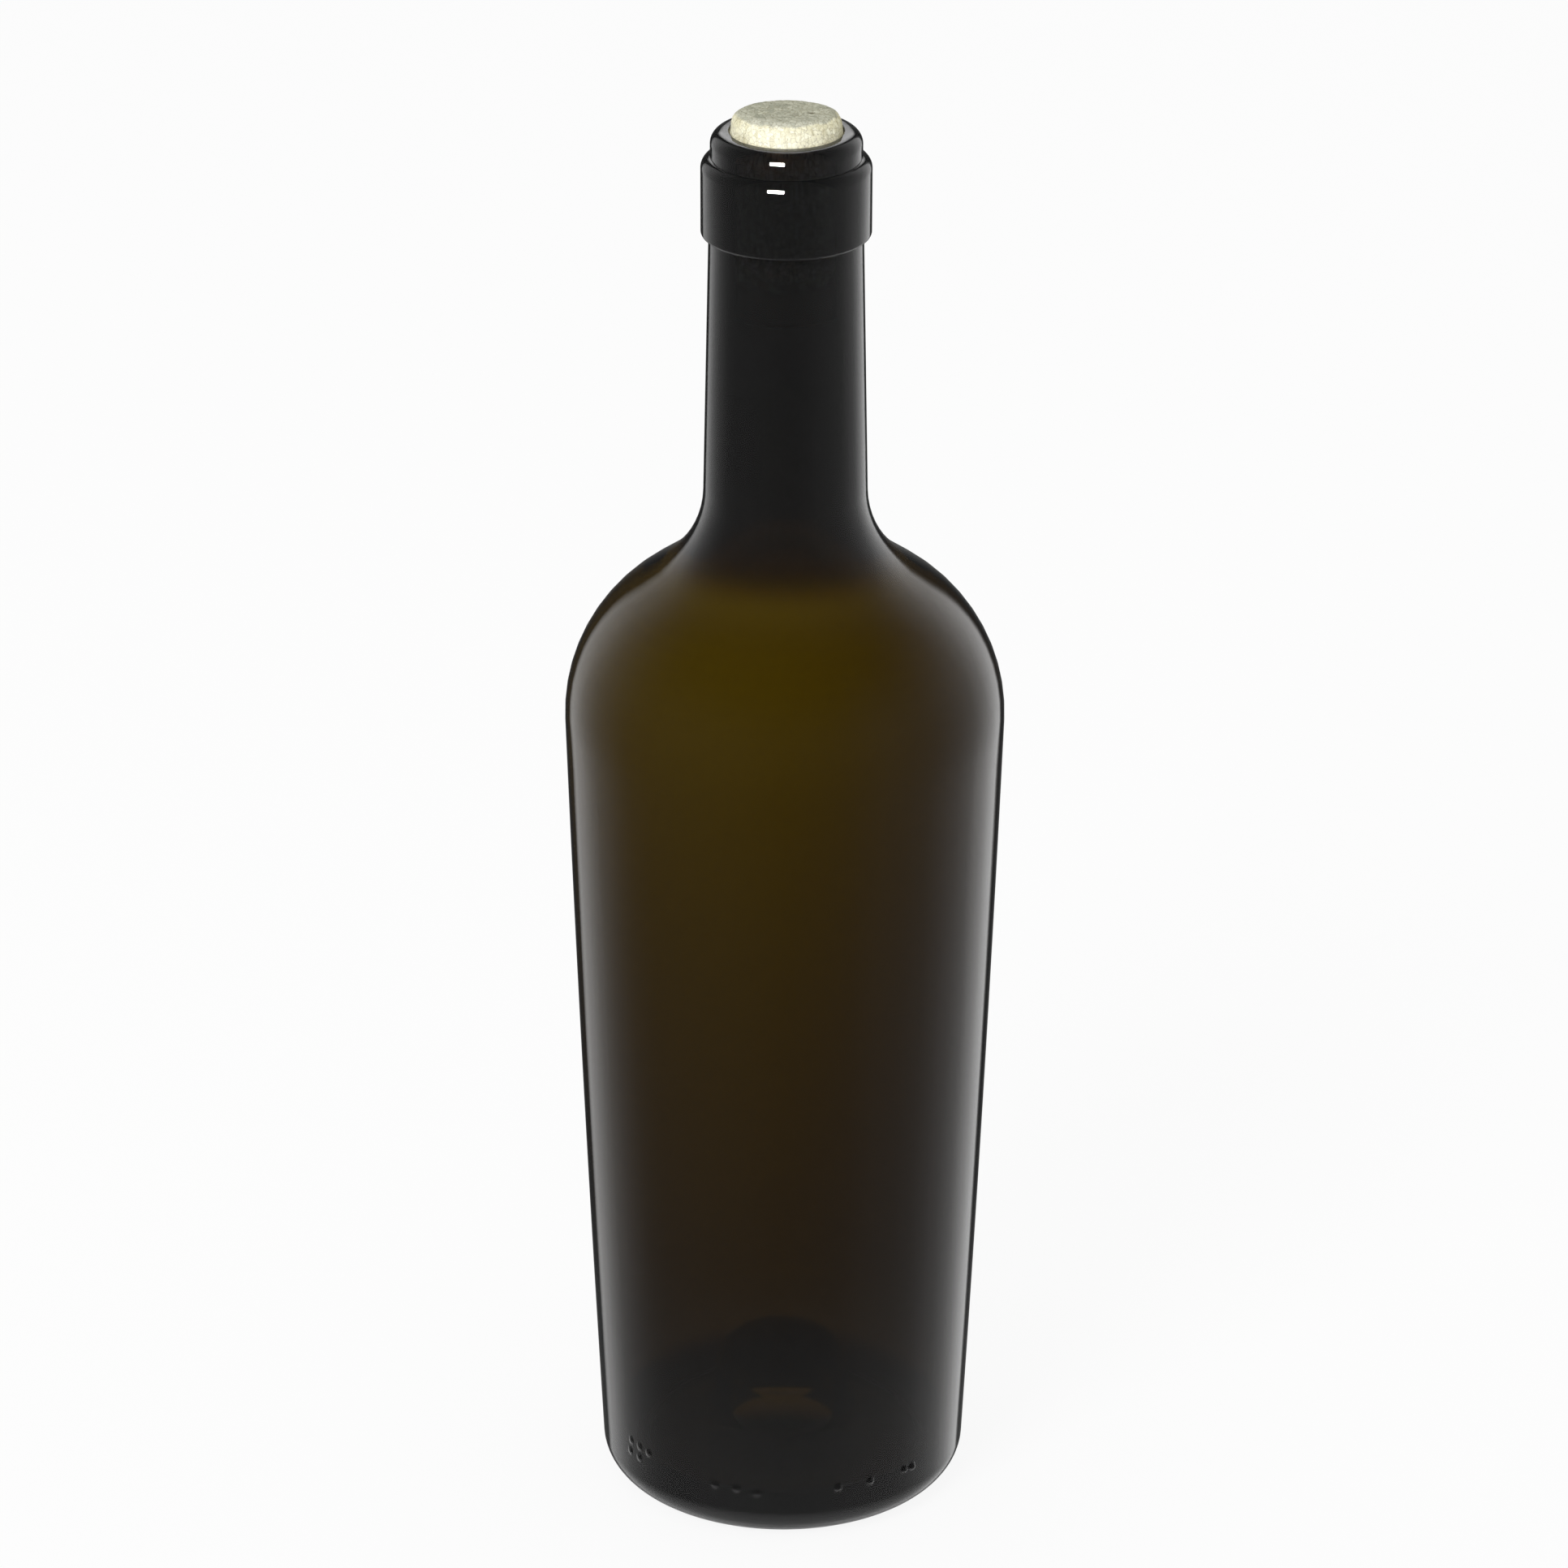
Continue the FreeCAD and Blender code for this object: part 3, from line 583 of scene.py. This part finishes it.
def white_floor():
    """Pale and shadowed; seen through the glass it glows evenly, except for a painted shadow under
    the middle of the base.
    """
    made, tree = material("white_floor")
    path = tree.add("LightPath")
    plain = tree.add("BsdfDiffuse", {"Color": (0.9, 0.9, 0.9, 1.0)})
    bright = tree.add("Emission", {"Color": (1.0, 1.0, 1.0, 1.0), "Strength": 1.0})
    seen = tree.math("MULTIPLY", path.outputs["Is Camera Ray"], 0.9)
    # painted shadow: for rays through the glass the glow fades out toward the bottle's axis, from
    # 22 mm to none within 14 mm, leaving the plain lit floor
    spot = tree.add("TexCoord").outputs["Object"]
    spot = tree.add("VectorMath", {0: spot}, operation="LENGTH").outputs["Value"]
    painted_shadow_fade = tree.ramp(tree.math("MULTIPLY", spot, 10.0), [(0.14, 0.0), (0.22, 0.8)])
    through = tree.math("MULTIPLY", path.outputs["Is Transmission Ray"], painted_shadow_fade)
    share = tree.math("MAXIMUM", seen, through)
    both = tree.add("MixShader", {0: share, 1: plain.outputs[0], 2: bright.outputs[0]})
    tree.add("OutputMaterial", {"Surface": both.outputs[0]})
    return made


floor.data.materials.append(white_floor())

# ------------------------------------------------------------------------- lights
# what the glass mirrors: soft panels at both sides and one behind and above
PANELS = [                     # degrees from straight behind, + to the right; brightness
    (-180, 0.05), (-105, 0.10), (-92, 0.14), (-82, 0.22), (-72, 0.33), (-65, 0.42),
    (-55, 0.6), (-45, 0.8), (-33, 0.85), (-30, 0.5), (-27, 0.04), (-17, 0.03),
    (-11, 0.06), (-6, 0.1), (6, 0.12), (11, 0.08), (17, 0.04), (23, 0.04), (26, 0.2),
    (29, 1.15), (36, 1.25), (45, 1.1), (55, 0.85), (65, 0.6), (75, 0.47), (85, 0.37),
    (97, 0.26), (112, 0.19), (127, 0.16), (142, 0.10), (157, 0.07), (180, 0.05),
]
BRIGHTEST = 2.2                # what a brightness of 1 in the ramps stands for
TOP_OF_PANELS = [              # degrees above the horizon, share of brightness
    (-90, 0.2), (-52, 0.3), (-40, 0.7), (-30, 1.0), (8, 1.0), (15, 0.93),
    (25, 0.74), (35, 0.5), (45, 0.27), (55, 0.13), (65, 0.07), (90, 0.05),
]
NEAR_FLOOR = [                 # degrees above the horizon, brightness
    (-90, 0.6), (-55, 0.55), (-45, 0.42), (-38, 0.2), (-33, 0.08), (-28, 0.0), (90, 0.0),
]
BEHIND = [(-20, 0.0), (-12, 0.9), (12, 0.9), (20, 0.0)]
ABOVE = [(14, 0.0), (20, 1.0), (60, 1.0), (75, 0.0)]


def round_the_object(tree, turn, stops, unit=1.0):
    """Brightness by degrees from straight behind."""
    return tree.ramp(turn, [(angle / 360 + 0.5, level / unit) for angle, level in stops])


def by_elevation(tree, slope, stops):
    """Brightness by degrees above the horizon."""
    return tree.ramp(slope, [(angle / 180 + 0.5, level) for angle, level in stops])


def studio():
    """White where it is seen directly, the panels where it is mirrored."""
    world = bpy.data.worlds.new("studio")
    bpy.context.scene.world = world
    world.use_nodes = True
    tree = Nodes(world.node_tree)
    path = tree.add("LightPath")
    way = tree.add("SeparateXYZ", {"Vector": tree.add("TexCoord").outputs["Generated"]})
    side_way, back_way, up_way = (way.outputs[axis] for axis in "XYZ")
    turn = tree.math("ARCTAN2", side_way, back_way)
    turn = tree.math("MULTIPLY_ADD", turn, 0.5 / math.pi, 0.5)
    panels = round_the_object(tree, turn, PANELS, BRIGHTEST)
    slope = tree.math("MULTIPLY_ADD", tree.math("ARCSINE", up_way), 1 / math.pi, 0.5)
    height_share = by_elevation(tree, slope, TOP_OF_PANELS)
    near_floor = by_elevation(tree, slope, NEAR_FLOOR)
    panels = tree.math("MULTIPLY", panels, height_share)
    behind = round_the_object(tree, turn, BEHIND)
    above = by_elevation(tree, slope, ABOVE)
    panels = tree.math("MAXIMUM", panels, tree.math("MULTIPLY", behind, above))
    sheen = tree.math("MULTIPLY_ADD", panels, BRIGHTEST, near_floor)
    seen = tree.math(
        "MAXIMUM", path.outputs["Is Camera Ray"], path.outputs["Is Transmission Ray"]
    )
    scattered = tree.math("MULTIPLY", path.outputs["Is Diffuse Ray"], 0.7)
    mirrored = tree.math("MULTIPLY", path.outputs["Is Glossy Ray"], sheen)
    level = tree.math("MAXIMUM", scattered, mirrored)
    level = tree.math("MULTIPLY_ADD", tree.math("SUBTRACT", 1.0, seen), level, seen)
    sky = tree.add("Background", {"Color": (1.0, 1.0, 1.0, 1.0), "Strength": level})
    tree.add("OutputWorld", {"Surface": sky.outputs[0]})


studio()


def lamp(name, kind, spot, aim, power, **settings):
    """A lamp at one place, aimed at another."""
    data = bpy.data.lights.new(name, kind)
    data.energy = power
    for key, value in settings.items():
        setattr(data, key, value)
    made = bpy.data.objects.new(name, data)
    made.location = spot
    made.rotation_euler = (Vector(aim) - Vector(spot)).to_track_quat("-Z", "Y").to_euler()
    bpy.context.scene.collection.objects.link(made)
    return made


key = lamp("key", "AREA", (-0.7, -1.2, 1.3), (0, 0, 0.2), 12.0, size=0.6)
key.visible_glossy = key.visible_transmission = False
glint = lamp(
    "glint", "AREA", (-0.0155, -0.0714, 0.2857), (-0.002, -0.0139, 0.2752), 0.06,
    shape="RECTANGLE", size=0.025, size_y=0.032, spread=math.radians(40),
)
glint.visible_camera = glint.visible_transmission = glint.visible_diffuse = False

# ------------------------------------------------------------------------- camera
CAMERA_SPOT = (-0.00011, -1.1617, 0.6691)
CAMERA_DOWN = 0.423            # radians below the horizontal
CAMERA_ROLL = 0.003
CAMERA_LENS = 153.25

camera_data = bpy.data.cameras.new("camera")
camera_data.sensor_width = 36.0
camera_data.lens = CAMERA_LENS
camera = bpy.data.objects.new("camera", camera_data)
bpy.context.scene.collection.objects.link(camera)
camera.matrix_world = (
    Matrix.Translation(CAMERA_SPOT)
    @ Matrix.Rotation(math.pi / 2 - CAMERA_DOWN, 4, "X")
    @ Matrix.Rotation(CAMERA_ROLL, 4, "Z")
)
camera_data.clip_start, camera_data.clip_end = 0.05, 50.0
bpy.context.scene.camera = camera
bpy.context.scene.view_settings.view_transform = "Standard"
